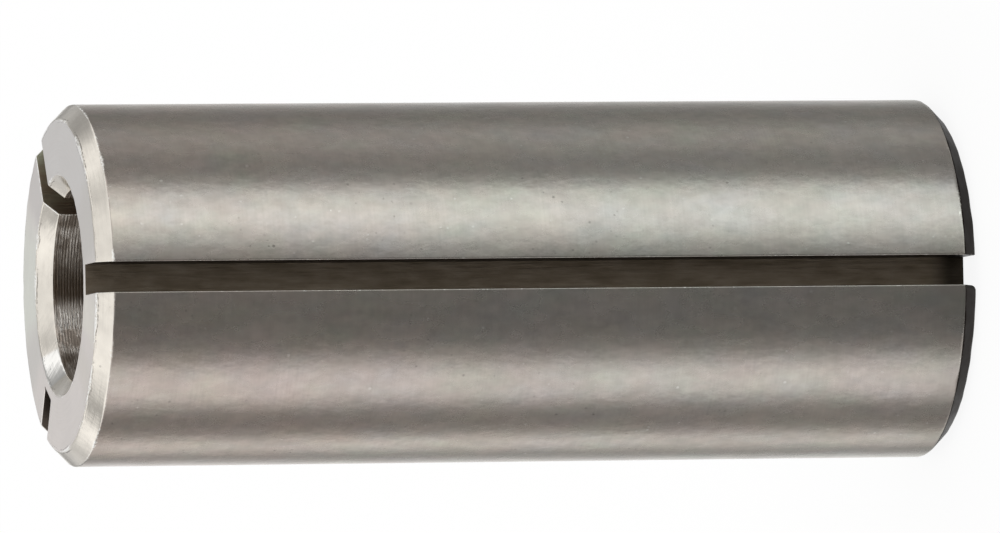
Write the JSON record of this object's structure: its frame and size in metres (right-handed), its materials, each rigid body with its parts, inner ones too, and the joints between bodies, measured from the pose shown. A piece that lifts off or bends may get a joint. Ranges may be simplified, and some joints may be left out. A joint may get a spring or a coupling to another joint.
{
  "type": "collet reducer sleeve",
  "caption": "Slotted steel sleeve that lets a collet grip a thinner shank: a chamfered tube, split along its length so it can close, with blind grooves that make the wall supple.",
  "frame": {"origin": "centre of the lower end face, where the sleeve stands", "axes": "+Z along the sleeve's axis, +X through the middle of the split"},
  "size_m": [0.012, 0.012, 0.03],
  "materials": {
    "steel": "ground satin outside with faint stains, bright turned ends and chamfers, dark oxide left in the slots and the bore"
  },
  "bodies": {
    "root": {"reducer_sleeve": "steel"}
  },
  "joints": []
}
